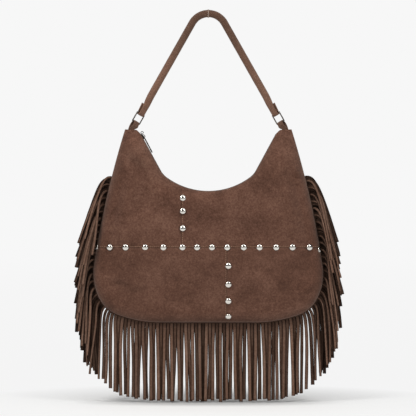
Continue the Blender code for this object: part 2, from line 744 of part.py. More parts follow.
def add_slider():
    """A channel over the teeth, with a wire bridge that holds the pull."""
    inside = TEETH_HALF_WIDTH + SEAT_GAP
    outside = inside + SLIDER_FLANGE
    foot = TAPE_LEVEL + TAPE / 2 + SEAT_GAP
    channel = ((-outside, foot), (-inside, foot), (-inside, SLIDER_UNDER), (inside, SLIDER_UNDER),
               (inside, foot), (outside, foot), (outside, SLIDER_TOP), (-outside, SLIDER_TOP))
    sections = [[Vector((x, y, z)) for y, z in channel] for x in (-SLIDER_LENGTH / 2, SLIDER_LENGTH / 2)]
    slider = add_object("zip_slider", loft_mesh("zip_slider", sections), NICKEL, zip_frame(0.0))

    steps = 8
    rings = []
    for i in range(steps + 1):
        angle = math.pi * (i / steps * 1.2 - 0.1)
        out = Vector((math.cos(angle), 0.0, math.sin(angle)))
        centre = Vector((0.0, 0.0, SLIDER_TOP)) + out * BRIDGE_RADIUS
        rings.append(oval(centre, out, Vector((0.0, 1.0, 0.0)), BRIDGE_WIRE, BRIDGE_WIRE, 6))
    bridge = bpy.data.objects.new("bridge_union", loft_mesh("bridge_union", rings))
    bridge.matrix_world = slider.matrix_world
    bridge.display_type = "WIRE"
    bridge.hide_render = True
    CUTTERS.objects.link(bridge)
    add_modifier(slider, "BOOLEAN", operation="UNION", solver="EXACT", object=bridge)


def add_pull():
    """A flat tag with a window: the bar at its head passes under the slider's bridge."""
    tag = bpy.data.curves.new("zip_pull", "CURVE")
    tag.dimensions = "2D"
    tag.fill_mode = "BOTH"
    tag.extrude = PULL_THICKNESS / 2
    half = PULL_WIDTH / 2
    end = PULL_LENGTH - half
    outline = [(-PULL_BAR / 2, -half), (0.35 * end, -half * 0.8), (end, -half)]
    outline += [(end + half * math.sin(math.radians(angle)), -half * math.cos(math.radians(angle)))
                for angle in range(30, 180, 30)]
    outline += [(end, half), (0.35 * end, half * 0.8), (-PULL_BAR / 2, half)]
    window = PULL_WINDOW_WIDTH / 2
    hole = [(PULL_BAR / 2, -window), (PULL_BAR / 2, window), (PULL_WINDOW_LENGTH, window),
            (PULL_WINDOW_LENGTH, -window)]
    for points in (outline, hole):
        spline = tag.splines.new("POLY")
        spline.points.add(len(points) - 1)
        for knot, (x, y) in zip(spline.points, points):
            knot.co = (x, y, 0.0, 1.0)
        spline.use_cyclic_u = True
    matrix = zip_frame(HINGE_LEVEL) @ Matrix.Rotation(PULL_DIP, 4, "Y")
    add_object("zip_pull", tag, NICKEL, matrix)


def add_zip():
    for hand, word in ((-1.0, "front"), (1.0, "back")):
        name = "zip_tape_" + word
        tape = add_object(name, tape_mesh(name, hand), TAPE_CLOTH)
        add_modifier(tape, "SOLIDIFY", thickness=TAPE, offset=0.0, use_even_offset=True)
    add_object("zip_teeth", loft_mesh("zip_teeth", teeth_sections()), NICKEL)
    add_slider()
    add_pull()


clear_scene()
BAG = new_collection("fringed_suede_bag")
CUTTERS = new_collection("cutters")
front_panels = add_front()
add_panel("back", panel_mesh("back", -1.0))
add_fringe()
add_suspension()
add_zip()
add_studs(front_panels)
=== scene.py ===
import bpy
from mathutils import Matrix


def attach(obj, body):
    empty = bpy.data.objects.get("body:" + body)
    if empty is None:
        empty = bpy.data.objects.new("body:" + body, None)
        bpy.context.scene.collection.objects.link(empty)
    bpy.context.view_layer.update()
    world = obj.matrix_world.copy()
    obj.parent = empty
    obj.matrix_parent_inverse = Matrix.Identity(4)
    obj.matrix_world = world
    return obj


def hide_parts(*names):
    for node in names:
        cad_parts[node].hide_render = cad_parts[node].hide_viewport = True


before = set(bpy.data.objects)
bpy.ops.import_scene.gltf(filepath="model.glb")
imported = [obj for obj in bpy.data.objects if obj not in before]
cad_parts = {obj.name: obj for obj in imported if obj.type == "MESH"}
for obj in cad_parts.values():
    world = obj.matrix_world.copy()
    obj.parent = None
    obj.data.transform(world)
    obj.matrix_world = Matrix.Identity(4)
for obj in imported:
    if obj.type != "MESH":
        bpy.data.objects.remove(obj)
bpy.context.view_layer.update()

import math
import random
from types import SimpleNamespace

import bmesh
import bpy
from mathutils import Matrix, Vector, noise
from mathutils.bvhtree import BVHTree

# Looks of the fringed suede bag. Metres, +Z up, front to -Y; the origin is under the strap's crown.

LEATHER = 0.0016
SEAM_GAP = 0.0003
FRONT = Vector((0.0, -1.0, 0.0))

# The bag's outline and mouth, as (length, turn) moves from the middle out to the right


def arc(radius, degrees):
    turn = math.radians(degrees)
    return radius * abs(turn), turn


BOTTOM_Z = -0.5077
OUTLINE_MOVES = ((0.078, 0.0), arc(0.215, 20), arc(0.051, 39), arc(0.090, 39.5), arc(1.530, 8.7))
MOUTH_Z = -0.2907
MOUTH_MOVES = (arc(0.118, 36.5), arc(0.0355, 25), (0.0695, 0.0), arc(0.018, -20), (0.003, 0.0))

# Sizes of the panels

PANEL_LIP = 0.0007              # how far the panels reach past the seam
PEAK_LIP = 0.0006               # and in the peaks
PEAK_LIP_START, PEAK_LIP_RUN = 0.004, 0.008     # past the end of the fringe
EDGE_ROLL = 0.018               # width over which a panel turns in to its seam
CREST = 0.0165                  # height of a panel above its seam, past the roll
BELLY = 0.0085                  # further height in the middle of the bag
MOUTH_ROLL = 0.022              # width over which a panel turns in to the zip
MOUTH_HALF_GAP = 0.0072         # from the middle of the bag to the panel at the zip
MOST_ROLL = 0.42                # share of a panel's width that one roll takes at most
LEAST_SQUARE = 0.6              # how square to the seam a line of points counts at least
FULL_WIDTH = 0.085              # a panel wider than this has its whole crest
PINCH = 0.022                   # length over which a peak closes on its tab
SEAM_Y = 0.0017                 # from the middle of the bag to a panel at its seam
PEAK_Y = 0.00382                # and in the peaks
CROSS_SEAM_Z = -0.3842
UPPER_SEAM_X = -0.0445
LOWER_SEAM_X = 0.0310
EDGE_STEPS, MIDDLE_STEPS, MOUTH_STEPS = 12, 46, 12
STATION_LENGTH = 0.0026         # between a panel's lines of points
DENTS = ((13.0, 0.0016), (31.0, 0.0006))    # how many to the metre, and their height
DENTS_FROM_EDGE, DENTS_FROM_MOUTH = 0.05, 0.03
RELIEF_WIDTH = 0.08             # a panel narrower than this is less dented
PUCKERS_PER_METRE = 95.0
PUCKER_HEIGHT, PUCKER_PLACE, PUCKER_REACH = 0.0009, 0.010, 0.012    # in from the edge
SEAM_SINK, SEAM_SINK_REACH = 0.0011, 0.0016
SEAM_SWELL, SEAM_SWELL_PLACE, SEAM_SWELL_REACH = 0.0004, 0.0055, 0.004
SEAM_FADE = 0.004               # towards a seam's ends
# A panel is cut along lines this far beside its seams, so that its points follow the groove
SEAM_CUTS = (SEAM_GAP / 2, 0.0009, 0.002, 0.0034, 0.0055, 0.008)

# Sizes of the fringe

FRINGE_REACH = 0.402            # along the seam, from the middle of the bottom to the top strip
HEADER = 0.0024                 # uncut part outside the seam
HEADER_INSIDE = 0.008
HEADER_TAPER = 0.010            # at its two ends
HEADER_LINES, HEADER_ROWS = 320, 6
STRIP_PITCH = 0.00582
STRIP_COUNT = 2 * int(FRINGE_REACH / STRIP_PITCH)
STRIP_WIDTH = 0.0063
SIDE_WIDTH = 0.0047
INNER_WIDTH = 1.3               # of the inner side strips, times the others'
NARROWEST = 0.86                # share of the width
UNEVEN_WIDTH = 0.06
UNCUT_WIDTH = STRIP_PITCH * 1.05    # down to the slit, where strips lap over each other
STRIP_THICKNESS = 0.0013
CUP = 0.25                      # of the half thickness, by which a strip's edges turn up
STRIP_SECTION = ((-1.0, -0.5), (-0.5, -1.0), (0.5, -1.0), (1.0, -0.5),
                 (1.0, 0.5), (0.5, 1.0), (-0.5, 1.0), (-1.0, 0.5))
STRIP_LENGTH = 0.1235
ADDED_LENGTH = (0.0104, 0.004)  # at the bottom and at the sides
SHORTEST = (0.965, 0.90)        # share of the length, at the bottom and at the sides
STRIP_ROWS, STRIP_STEPS = 34, 5
STRIP_TUCK = 0.003              # a strip starts this far inside the header's edge
SLIT = (0.008, 0.030)           # least and most length down to where a strip comes free of the next one
SLIT_END = 0.016
CORNER_START = math.radians(20.0)   # headings of the seam between which bottom turns into side
CORNER_TURN = math.radians(30.0)
BEND_LENGTH = 0.0075            # over which a strip turns from outwards to downwards
MORE_BEND = (1.0, 1.35)         # times that, drawn for each side strip
RISE_BEND, CORNER_BEND = 0.45, 0.8
LEAST_LEAN = math.radians(3.0)  # outwards, of side strips: each is pushed out by those below it
MORE_LEAN = math.radians(15.0)  # of the highest strips
LOW_LEAN, LOW_LEAN_RISE = 0.4, 0.7  # share of it that the lowest side strips have, and up to where
LEAN_START_HEIGHT = 0.0477
LEAN_RISE = 0.200               # from there to the highest strips
LEAN_SCATTER = (1.0, 2.3)       # degrees, at the bottom and at the sides
CORNER_DROP = math.radians(8.0)     # up to a quarter of it comes off the lean round the corners
FAN = (-40.0, 12.0, -20.0, 40.0)    # degrees to the front (-) or back by which side strips fan out
INNER_LANE = 1                  # the one of these that is shaded by the rest
FAN_SCATTER = 10.0              # degrees
FAN_LENGTH = 0.004
INNER_FACES, OUTER_FACES = (0.0, 0.25), (0.05, 0.8)     # how far side strips turn their faces to the front
SIDE_TWIST_LENGTH = 0.014
BOTTOM_TWIST = math.radians(20.0)
BOTTOM_TWIST_END = 0.8          # share of the length
CURL, CURL_TURN, CURL_START = 0.2, 5.0, 0.3     # a further twist to and fro
BOTTOM_LANE = 0.0021            # every other strip hangs this far behind the seam, the rest before it
LANE_LENGTH = 0.050
SWAY = (0.0016, 0.0030)         # at the bottom and at the sides
SWAY_TURN, SWAY_START = 3.6, 0.4
GATHER_SEED = 5
GROUP_SIZES = (2, 2, 3, 3, 4, 5)    # the bottom strips hang in small groups of so many
GROUP_TUG = (0.10, 0.30)        # share of the way to its group's middle that a strip's tip is pulled
GROUP_SHIFT = 0.0012            # most that a group hangs aside
GATHER_POWER = 1.3
FILLER_SEED = 5000
FILLER_FAN = 5.0                # degrees
FILLER_DROP = math.radians(1.6)
STRIP_TONE = (0.80, 1.20)       # least and most
RIGHT_TONE = 0.16               # by which the right side's strips are lighter
BACK_LANE_SHADE = (0.45, 0.98)   # least and most painted shade on the bottom strips that hang behind
INNER_SHADE = (0.16, 0.42)       # least and most painted shade on the dark strips among the inner ones
INNER_SHARE = 0.6               # so many of the inner ones are dark with painted shade
INNER_REST_SHADE = 0.8                # painted shade on the others
TOP_SHADE, TOP_SHADE_REACH = 0.66, 0.34   # painted shade where a strip starts under the panel's edge, and the share of its length where this ends
# painted shade along each strip's edges, for the gaps between strips, and painted light on its face
EDGE_SHADE, FACE_LIGHT = 0.05, 1.12
# painted shade on the header, which lies under the panel's edge
HEADER_SHADE = 0.42

# Sizes of the studs and stitches

STUD_RADIUS = 0.0053
STUD_HEIGHT = 0.0028
STUD_DROP = 0.0012              # from its place in the solids
STUD_SUNK = 0.0006              # part of the stud inside the leather
STUD_TOP = 0.0004               # radius of its flat top
STUD_ROWS, STUD_SIDES = 10, 28
STITCH_PITCH = 0.0031
STITCH_SHARE = 0.72             # of the pitch
STITCH_RADIUS = 0.00034
STITCH_LIFT = 0.00022
# Start and end (x, z) of each row of stitches
STITCH_ROWS = (((-0.186, CROSS_SEAM_Z + 0.0021), (0.186, CROSS_SEAM_Z + 0.0021)),
               ((UPPER_SEAM_X + 0.0020, CROSS_SEAM_Z + 0.004), (UPPER_SEAM_X + 0.0020, -0.293)),
               ((LOWER_SEAM_X - 0.0020, -0.502), (LOWER_SEAM_X - 0.0020, CROSS_SEAM_Z - 0.004)))


def smooth(x):
    x = min(max(x, 0.0), 1.0)
    return x * x * (3.0 - 2.0 * x)


def mix(a, b, share):
    return a + (b - a) * share


class HalfPath:
    """A curve in the XZ plane from the middle out to the right, mirrored for negative distances."""

    def __init__(self, start_z, moves):
        self.runs = []
        self.length = 0.0
        place = (0.0, start_z, 0.0)
        for length, turn in moves:
            self.runs.append((self.length, length, turn, place))
            place = self.advance(place, length, turn)
            self.length += length

    @staticmethod
    def advance(place, length, turn):
        x, z, heading = place
        if abs(turn) < 1e-9:
            return x + length * math.cos(heading), z + length * math.sin(heading), heading
        radius = length / turn
        end = heading + turn
        return (x + radius * (math.sin(end) - math.sin(heading)),
                z + radius * (math.cos(heading) - math.cos(end)), end)

    def at(self, distance):
        ahead = min(abs(distance), self.length)
        start, length, turn, place = [run for run in self.runs if run[0] <= ahead][-1]
        part = ahead - start
        x, z, heading = self.advance(place, part, turn * part / length)
        return Vector((math.copysign(x, distance), 0.0, z)), heading

    def outward(self, distance):
        heading = self.at(distance)[1]
        return Vector((math.copysign(math.sin(heading), distance), 0.0, -math.cos(heading)))


OUTLINE = HalfPath(BOTTOM_Z, OUTLINE_MOVES)
MOUTH = HalfPath(MOUTH_Z, MOUTH_MOVES)


# Materials


class Nodes:
    """A short way to write a material's nodes."""

    def __init__(self, name):
        self.material = bpy.data.materials.new(name)
        self.material.use_nodes = True
        self.tree = self.material.node_tree
        self.shader = self.tree.nodes["Principled BSDF"]
        self.place = None

    def add(self, kind, inputs=(), **settings):
        node = self.tree.nodes.new("ShaderNode" + kind)
        for key, value in settings.items():
            setattr(node, key, value)
        for key, value in dict(inputs).items():
            self.set(node.inputs[key], value)
        return node

    def set(self, socket, value):
        if isinstance(value, bpy.types.NodeSocket):
            self.tree.links.new(value, socket)
        else:
            socket.default_value = value

    def object_place(self):
        if self.place is None:
            self.place = self.add("TexCoord").outputs["Object"]
        return self.place

    def noise(self, scale, detail=2.0, roughness=0.5, stretch=None, distortion=0.0):
        place = self.object_place()
        if stretch:
            place = self.add("Mapping", {"Vector": place, "Scale": stretch}).outputs[0]
        return self.add("TexNoise", {"Vector": place, "Scale": scale, "Detail": detail,
                                     "Roughness": roughness, "Distortion": distortion}).outputs["Fac"]

    def ramp(self, value, low, high, out_low=0.0, out_high=1.0):
        return self.add("MapRange", {"Value": value, "From Min": low, "From Max": high,
                                     "To Min": out_low, "To Max": out_high}).outputs["Result"]

    def math(self, operation, a, b):
        return self.add("Math", {0: a, 1: b}, operation=operation).outputs[0]

    def blend(self, share, a, b, kind="MIX"):
        node = self.add("Mix", data_type="RGBA", blend_type=kind)
        self.set(node.inputs["Factor"], share)
        self.set(node.inputs[6], a)
        self.set(node.inputs[7], b)
        return node.outputs[2]

    def shaded(self, base, shade):
        """The base colour times a single value."""
        grey = self.add("CombineColor", {"Red": shade, "Green": shade, "Blue": shade})
        return self.blend(1.0, base, grey.outputs[0], "MULTIPLY")

    def finish(self, **inputs):
        for key, value in inputs.items():
            self.set(self.shader.inputs[key.replace("_", " ")], value)
        return self.material


def colour(r, g, b):
    return (r, g, b, 1.0)


def suede(name, dark, middle, light, grain=1.0, sheen=0.22):
    """Suede: broad clouds where the nap lies differently, fine grain, a soft sheen, and the mesh's tone,
    which also carries painted light and shade.
    """
    n = Nodes(name)
    clouds = n.ramp(n.noise(15.0, 4.0, 0.62, None, 0.5), 0.34, 0.66)
    smears = n.ramp(n.noise(80.0, 3.0, 0.6, (0.8, 1.0, 1.2), 0.6), 0.3, 0.7)
    mottle = n.ramp(n.noise(330.0, 3.0, 0.65), 0.32, 0.68)
    specks = n.ramp(n.noise(800.0, 3.0, 0.7), 0.3, 0.7)
    value = n.math("ADD", n.math("MULTIPLY", clouds, 0.24), n.math("MULTIPLY", smears, 0.16))
    value = n.math("ADD", value, n.math("MULTIPLY", mottle, 0.33))
    value = n.math("ADD", value, n.math("MULTIPLY", specks, 0.27 * grain))
    low = n.blend(n.ramp(value, 0.18, 0.52), colour(*dark), colour(*middle))
    base = n.blend(n.ramp(value, 0.5, 0.86), low, colour(*light))
    # the mesh's tone also carries painted light and shade: patches on the panels, shade on the fringe, light
    # on the strap's arms
    base = n.shaded(base, n.add("Attribute", attribute_name="tone").outputs["Fac"])
    height = n.math("ADD", n.math("MULTIPLY", specks, 0.5), n.noise(1900.0, 2.0))
    bump = n.add("Bump", {"Height": height, "Strength": 0.45 * grain, "Distance": 0.0004}).outputs[0]
    return n.finish(Base_Color=base, Roughness=1.0, Normal=bump, Specular_IOR_Level=0.5 * sheen,
                    Sheen_Weight=sheen, Sheen_Roughness=0.55, Sheen_Tint=colour(0.9, 0.72, 0.62))


def metal(name, tint, roughness):
    n = Nodes(name)
    scuffs = n.ramp(n.noise(260.0, 3.0), 0.3, 0.75, roughness * 0.75, roughness * 1.35)
    return n.finish(Base_Color=colour(*tint), Metallic=1.0, Roughness=scuffs)


def cloth(name, tint):
    n = Nodes(name)
    weave = n.ramp(n.noise(1600.0, 1.0), 0.3, 0.7, 0.75, 1.25)
    return n.finish(Base_Color=n.shaded(colour(*tint), weave), Roughness=0.9, Specular_IOR_Level=0.2)


SUEDE = suede("suede_brown", (0.046, 0.0196, 0.0120), (0.090, 0.0410, 0.0268), (0.152, 0.0785, 0.0540))
FRINGE_SUEDE = suede("suede_fringe", (0.080, 0.043, 0.029), (0.118, 0.068, 0.048), (0.168, 0.105, 0.078),
                     sheen=0.03)
STRAP_SUEDE = suede("suede_strap", (0.076, 0.039, 0.026), (0.108, 0.059, 0.040), (0.146, 0.084, 0.058),
                    grain=0.5)
THREAD = cloth("thread", (0.30, 0.185, 0.120))
NICKEL = metal("nickel", (0.72, 0.69, 0.64), 0.14)
WIRE_NICKEL = metal("nickel_wire", (0.13, 0.115, 0.10), 0.18)
DARK_NICKEL = metal("nickel_teeth", (0.045, 0.04, 0.036), 0.42)
TAPE_CLOTH = cloth("zip_tape", (0.020, 0.014, 0.012))


# Meshes


def add_object(name, data, material, body, matrix=None):
    piece = bpy.data.objects.new(name, data)
    bpy.context.scene.collection.objects.link(piece)
    data.materials.clear()
    data.materials.append(material)
    if matrix is not None:
        piece.matrix_world = matrix
    data.polygons.foreach_set("use_smooth", [True] * len(data.polygons))
    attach(piece, body)
    return piece


def set_tone_and_painted_light(mesh, tones):
    mesh.attributes.new("tone", "FLOAT", "POINT").data.foreach_set("value", tones)


def grid_mesh(name, lines):
    """A sheet through lines of points of equal length."""
    rows = len(lines[0])
    faces = []
    for i in range(len(lines) - 1):
        for j in range(rows - 1):
            a = i * rows + j
            faces.append((a, a + rows, a + rows + 1, a + 1))
    mesh = bpy.data.meshes.new(name)
    mesh.from_pydata([point for line in lines for point in line], [], faces)
    return mesh


def loft_mesh(name, lofts, closed=False):
    """Closed solids, each through its own rings of points."""
    points, faces = [], []
    for sections in lofts:
        first, sides = len(points), len(sections[0])
        points += [point for ring in sections for point in ring]
        spans = len(sections) if closed else len(sections) - 1
        for i in range(spans):
            near, far = first + i * sides, first + (i + 1) % len(sections) * sides
            for j in range(sides):
                k = (j + 1) % sides
                faces.append((near + j, near + k, far + k, far + j))
        if not closed:
            last = first + (len(sections) - 1) * sides
            faces.append(tuple(reversed(range(first, first + sides))))
            faces.append(tuple(range(last, last + sides)))
    mesh = bpy.data.meshes.new(name)
    mesh.from_pydata(points, [], faces)
    return mesh


def oval(centre, side, face, half_width, half_thickness, sides, squareness=1.0):
    ring = []
    for i in range(sides):
        angle = 2.0 * math.pi * (i + 0.5) / sides
        across = math.copysign(abs(math.cos(angle)) ** squareness, math.cos(angle))
        up = math.copysign(abs(math.sin(angle)) ** squareness, math.sin(angle))
        ring.append(centre + side * (half_width * across) + face * (half_thickness * up))
    return ring


# Leather panels


def rule_line(distance):
    return OUTLINE.at(distance)[0], MOUTH.at(distance * MOUTH.length / OUTLINE.length)[0]


def relief(point, along, width, distance, front):
    """Soft dents and puckers that lift the leather off its plain form."""
    here = Vector((point.x, 7.0 * front, point.z))
    inner = smooth(along / DENTS_FROM_EDGE) * smooth((width - along) / DENTS_FROM_MOUTH)
    broad = sum(noise.noise(here * count) * height for count, height in DENTS)
    pucker = noise.noise(Vector((distance * PUCKERS_PER_METRE, front, 0.0))) \
        * PUCKER_HEIGHT * math.exp(-((along - PUCKER_PLACE) / PUCKER_REACH) ** 2)
    return broad * inner + pucker


def panel_line(distance, front):
    edge, rim = rule_line(distance)
    outward = OUTLINE.outward(distance)
    rule = rim - edge
    width = rule.length
    rule.normalize()
    square = max(LEAST_SQUARE, -rule.dot(outward))
    opened = smooth((OUTLINE.length - abs(distance)) / PINCH)
    crest = mix(PEAK_Y, SEAM_Y + CREST * min(1.0, width / FULL_WIDTH), opened)
    rim_y = min(MOUTH_HALF_GAP, crest)
    belly = BELLY * smooth((width - FULL_WIDTH) / FULL_WIDTH)
    edge_roll = min(EDGE_ROLL / square, MOST_ROLL * width)
    mouth_roll = min(MOUTH_ROLL, MOST_ROLL * width)
    lip = mix(PANEL_LIP, PEAK_LIP, smooth((abs(distance) - FRINGE_REACH - PEAK_LIP_START) / PEAK_LIP_RUN))
    points = [(-lip, SEAM_Y), (-lip / 3.0, SEAM_Y)]
    for i in range(EDGE_STEPS + 1):
        angle = math.pi / 2 * i / EDGE_STEPS
        points.append((edge_roll * (1.0 - math.cos(angle)), mix(SEAM_Y, crest, math.sin(angle))))
    for i in range(1, MIDDLE_STEPS):
        share = i / MIDDLE_STEPS
        lift = belly * math.sin(math.pi * share) ** 2
        points.append((mix(edge_roll, width - mouth_roll, share), crest + lift))
    for i in range(MOUTH_STEPS + 1):
        angle = math.pi / 2 * i / MOUTH_STEPS
        points.append((width - mouth_roll * (1.0 - math.sin(angle)), mix(rim_y, crest, math.cos(angle))))
    line = []
    for along, y in points:
        point = edge + rule * along if along > 0.0 else edge + outward * -along
        if along > 0.0:
            y += relief(point, along, width, distance, front) * smooth(width / RELIEF_WIDTH)
        line.append(point + FRONT * (y * front))
    return line


def panel_stations():
    count = round(2 * OUTLINE.length / STATION_LENGTH)
    return [mix(-OUTLINE.length, OUTLINE.length, i / count) for i in range(count + 1)]


def groove(mesh, seams):
    """The leather sinks into its seams and swells beside them."""
    for vertex in mesh.vertices:
        x, y, z = vertex.co
        sink = 0.0
        for axis, at, low, high in seams:
            away = abs((x, z)[axis] - at)
            other = (z, x)[axis]
            inside = smooth((other - low) / SEAM_FADE) * smooth((high - other) / SEAM_FADE)
            sink += inside * (SEAM_SINK * math.exp(-(away / SEAM_SINK_REACH) ** 2)
                              - SEAM_SWELL * math.exp(-((away - SEAM_SWELL_PLACE) / SEAM_SWELL_REACH) ** 2))
        vertex.co.y += sink


def cut(mesh, planes, keep):
    """Splits a mesh along planes (axis, at) and drops what keep(point) turns down."""
    solid = bmesh.new()
    solid.from_mesh(mesh)
    for axis, at in planes:
        middle, normal = Vector((0.0, 0.0, 0.0)), Vector((0.0, 0.0, 0.0))
        index = (0, 2)[axis]
        middle[index], normal[index] = at, 1.0
        bmesh.ops.bisect_plane(solid, geom=solid.verts[:] + solid.edges[:] + solid.faces[:],
                               plane_co=middle, plane_no=normal, dist=1e-6)
    away = [face for face in solid.faces if not keep(face.calc_center_median())]
    bmesh.ops.delete(solid, geom=away, context="FACES")
    solid.to_mesh(mesh)
    solid.free()


# Painted light and shade on the front: darker and lighter patches for the shade and light of its creases and
# dents, and lighter patches low at the sides where the lamps fall off; middle (x, z), reach along and across,
# tilt in degrees, change of tone
PAINTED_LIGHT_MARKS = ((-0.118, -0.240, 0.022, 0.008, -38, -0.27), (-0.125, -0.205, 0.014, 0.010, -60, 0.20),
         (-0.146, -0.441, 0.016, 0.005, -12, -0.37), (-0.120, -0.452, 0.014, 0.004, 8, -0.20),
         (-0.075, -0.288, 0.022, 0.007, -30, 0.17), (-0.020, -0.300, 0.030, 0.010, -4, 0.14),
         (0.170, -0.452, 0.016, 0.0035, 48, -0.31), (0.150, -0.470, 0.022, 0.006, 20, -0.14),
         (0.120, -0.230, 0.014, 0.008, 55, 0.14), (0.128, -0.262, 0.018, 0.007, 62, -0.14),
         (-0.110, -0.330, 0.030, 0.014, 12, 0.09), (0.060, -0.340, 0.030, 0.012, -8, -0.09),
         (-0.060, -0.455, 0.040, 0.010, 4, 0.09), (0.090, -0.430, 0.035, 0.012, -6, 0.09),
         (-0.160, -0.435, 0.030, 0.045, 0, 0.08), (0.163, -0.435, 0.030, 0.045, 0, 0.10),
         (0.150, -0.225, 0.030, 0.040, 0, -0.05))


def paint_light_marks(mesh, front):
    """Tones for a panel's points: 1 but for the marks of painted light and shade, which only the front has.
    """
    tones = []
    for vertex in mesh.vertices:
        x, _, z = vertex.co
        tone = 1.0
        for mark_x, mark_z, reach, across, tilt, change in PAINTED_LIGHT_MARKS if front else ():
            c, t = math.cos(math.radians(tilt)), math.sin(math.radians(tilt))
            u, v = (x - mark_x) * c + (z - mark_z) * t, (z - mark_z) * c - (x - mark_x) * t
            tone += change * math.exp(-(u / reach) ** 2 - (v / across) ** 2)
        tones.append(tone)
    set_tone_and_painted_light(mesh, tones)


def add_panel(name, mesh, nodes):
    paint_light_marks(mesh, name != "back_suede")
    panel = add_object(name, mesh, SUEDE, "bag")
    solid = panel.modifiers.new("Thickness", "SOLIDIFY")
    solid.thickness = LEATHER
    solid.offset = 0.0
    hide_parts(*nodes)
    return panel


def add_panels():
    half = SEAM_GAP / 2
    seams = [(1, CROSS_SEAM_Z, -0.3, 0.3), (0, UPPER_SEAM_X, CROSS_SEAM_Z, 0.0),
             (0, LOWER_SEAM_X, -0.6, CROSS_SEAM_Z)]
    planes = [(axis, at + sign * step)
              for axis, at in ((1, CROSS_SEAM_Z), (0, UPPER_SEAM_X), (0, LOWER_SEAM_X))
              for sign in (-1, 1) for step in SEAM_CUTS]
    tests = {
        "front_upper_left": lambda p: p.z > CROSS_SEAM_Z + half and p.x < UPPER_SEAM_X - half,
        "front_upper_right": lambda p: p.z > CROSS_SEAM_Z + half and p.x > UPPER_SEAM_X + half,
        "front_lower_left": lambda p: p.z < CROSS_SEAM_Z - half and p.x < LOWER_SEAM_X - half,
        "front_lower_right": lambda p: p.z < CROSS_SEAM_Z - half and p.x > LOWER_SEAM_X + half,
    }
    stations = panel_stations()
    lines = [panel_line(station, 1.0) for station in stations]
    panels = []
    for name, test in tests.items():
        mesh = grid_mesh(name + "_suede", lines)
        cut(mesh, planes, test)
        groove(mesh, seams)
        panels.append(add_panel(name + "_suede", mesh, [name]))
    back = grid_mesh("back_suede", [panel_line(station, -1.0) for station in stations])
    add_panel("back_suede", back, ["back"])
    return panels


# Fringe


def strip_habit(index, shade_filler=False):
    """How one strip lies: its start, fan, lean, length, bend, twist, sway, width, and tone with painted
    shade.

    A filler is one of the extra inner strips, dark with painted shade, that close the fringe at the bag's
    sides.
    """
    chance = random.Random(index + (FILLER_SEED if shade_filler else 0))
    distance = (index + 0.5 * shade_filler - (STRIP_COUNT - 1) / 2) * STRIP_PITCH
    start, heading = OUTLINE.at(distance)
    hand = math.copysign(1.0, distance)
    sideways = smooth((heading - CORNER_START) / CORNER_TURN)
    inner = shade_filler or index % len(FAN) == INNER_LANE
    fan = FILLER_FAN if shade_filler else FAN[index % len(FAN)]
    fan = math.radians(fan + chance.uniform(-FAN_SCATTER, FAN_SCATTER)) * sideways
    rise = max(0.0, start.z - BOTTOM_Z - LEAN_START_HEIGHT) / LEAN_RISE
    corner = min(heading / (math.pi / 2), 1.0)
    risen = rise ** 0.75 * mix(LOW_LEAN, 1.0, smooth(rise / LOW_LEAN_RISE))
    lean = LEAST_LEAN * sideways + MORE_LEAN * risen * math.cos(fan)
    lean += math.radians(chance.uniform(-1.0, 1.0)) * mix(*LEAN_SCATTER, sideways)
    lean -= CORNER_DROP * corner * (1.0 - corner) * sideways
    if shade_filler:
        lean -= FILLER_DROP
    length = STRIP_LENGTH * chance.uniform(mix(*SHORTEST, sideways), 1.0) + mix(*ADDED_LENGTH, sideways)
    bend = BEND_LENGTH * (mix(1.0, chance.uniform(*MORE_BEND) + RISE_BEND * rise, sideways)
                          + CORNER_BEND * corner * (1.0 - corner))
    faces = math.atan2(-hand * math.cos(fan) * math.copysign(1.0, fan), abs(math.sin(fan)) + 1e-6)
    faces *= chance.uniform(*(INNER_FACES if inner else OUTER_FACES))
    bottom_twist = BOTTOM_TWIST * chance.uniform(-1.0, 1.0)
    sway = chance.uniform(-1.0, 1.0) * mix(*SWAY, sideways)
    phase = chance.uniform(0.0, 6.28)
    width = mix(STRIP_WIDTH, SIDE_WIDTH * (INNER_WIDTH if inner else 1.0), sideways)
    width *= chance.uniform(NARROWEST, 1.0)
    slit = chance.uniform(*SLIT)
    tone = chance.uniform(*STRIP_TONE) * mix(1.0, 1.0 + RIGHT_TONE * (hand > 0.0), sideways)
    # bottom strips that hang behind get painted shade
    if index % 2:
        tone *= mix(chance.uniform(*BACK_LANE_SHADE), 1.0, sideways)
    # inner side strips and fillers get painted shade, deepest on the dark ones
    if inner:
        dark = shade_filler or chance.random() < INNER_SHARE
        tone *= mix(1.0, chance.uniform(*INNER_SHADE) if dark else INNER_REST_SHADE, sideways)
    return SimpleNamespace(
        index=index, start=start + OUTLINE.outward(distance) * (HEADER - STRIP_TUCK),
        heading=heading, hand=hand, sideways=sideways, fan=fan, lean=lean, length=length, bend=bend,
        side_twist=math.atan2(hand * math.sin(fan), math.cos(fan)) - faces, bottom_twist=bottom_twist,
        sway=sway, phase=phase, width=width, slit=slit, tone=tone,
        layer=(BOTTOM_LANE if index % 2 else -BOTTOM_LANE) * (1.0 - sideways),
        gather=GATHER[index] * (1.0 - sideways))


def strip_directions(habit, travelled):
    """Along a strip and across it, this far from its start."""
    angle = mix(habit.lean, habit.heading, 1.0 / (1.0 + (travelled / habit.bend) ** 2.2))
    turn = habit.fan * smooth(travelled / FAN_LENGTH)
    out = Vector((habit.hand * math.cos(turn), math.sin(turn), 0.0))
    up = Vector((0.0, 0.0, 1.0))
    return (out * math.sin(angle) - up * math.cos(angle),
            (out * math.cos(angle) + up * math.sin(angle)) * habit.hand)


